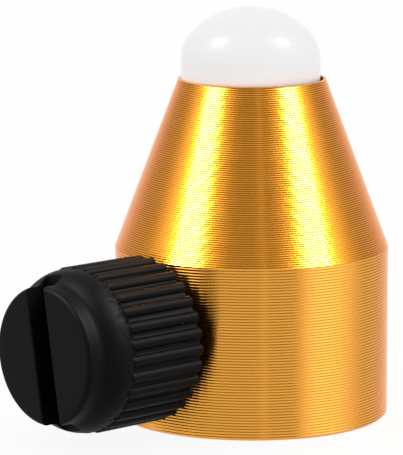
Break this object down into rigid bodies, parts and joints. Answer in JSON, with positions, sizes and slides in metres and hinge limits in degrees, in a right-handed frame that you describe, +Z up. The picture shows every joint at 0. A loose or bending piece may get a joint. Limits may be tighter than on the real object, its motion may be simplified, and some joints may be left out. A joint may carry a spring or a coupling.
{
  "type": "pole-top sighting target",
  "caption": "Turned gold sighting target with a conical neck and white dome tip; its socket slides on a survey pole's spigot and a ribbed side thumb screw clamps it.",
  "frame": {"origin": "centre of the pole socket's mouth, in the plane of the base", "axes": "+Z up the pole's axis to the dome; the clamp screw points out along -X"},
  "size_m": [0.0423, 0.028, 0.0419],
  "materials": {
    "gold_anodised_aluminium": "fine turned, gold anodised",
    "bush_steel": "reamed and turned",
    "opal_plastic": "moulded, satin gloss",
    "seal_rubber": "moulded",
    "white_plastic": "natural acetal",
    "plain_aluminium": "turned",
    "insert_brass": "turned",
    "stud_steel": "rolled thread, bright",
    "black_plastic": "moulded, satin"
  },
  "bodies": {
    "body": {"housing": "gold_anodised_aluminium", "pole_bush": "bush_steel", "stop_disc": "bush_steel", "dome": "opal_plastic", "dome_seal": "seal_rubber", "backing_disc": "white_plastic", "lock_ring": "plain_aluminium", "thread_insert": "insert_brass"},
    "clamp_pad": {"clamp_pad": "white_plastic"},
    "thumb_screw": {"clamp_stud": "stud_steel", "clamp_knob": "black_plastic"}
  },
  "joints": [
    {"name": "screw_travel", "type": "slide", "parent": "body", "child": "clamp_pad", "axis": [-1, 0, 0], "range_m": [-0.0005, 0.0015]},
    {"name": "screw_turn", "type": "hinge", "parent": "clamp_pad", "child": "thumb_screw", "pos_m": [-0.0146, 0, 0.0097], "axis": [-1, 0, 0], "range_deg": [-180, 540]}
  ],
  "couplings": [
    {"joint": "screw_turn", "follows": "screw_travel", "rad_per_m": 6283.2}
  ]
}
